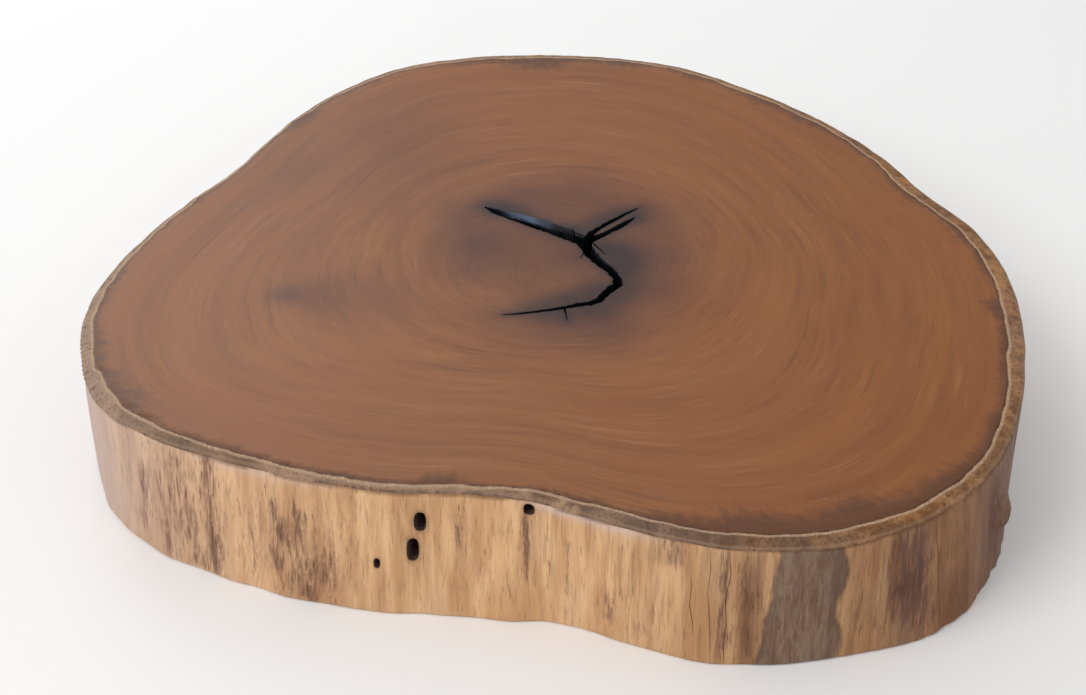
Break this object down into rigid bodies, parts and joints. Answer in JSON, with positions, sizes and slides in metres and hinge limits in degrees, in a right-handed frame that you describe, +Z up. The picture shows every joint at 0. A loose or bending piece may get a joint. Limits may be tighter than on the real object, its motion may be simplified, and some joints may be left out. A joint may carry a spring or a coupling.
{
  "type": "wood slice",
  "caption": "Thick slice of a hardwood trunk with a three-lobed live edge, a polished flat top with a pale rim, an open branched heart crack and a peeled side with beetle holes.",
  "frame": {"origin": "middle of the slice's bounding box, on the surface that it rests on", "axes": "+Z up along the grain, out of the polished face; -Y is the side seen in front in the picture, +X its right"},
  "size_m": [0.8023, 0.8052, 0.12],
  "materials": {
    "wood": "oiled and rubbed to a soft polish on top, peeled and dry on the side"
  },
  "bodies": {
    "root": {"wood_slice": "wood"}
  },
  "joints": []
}
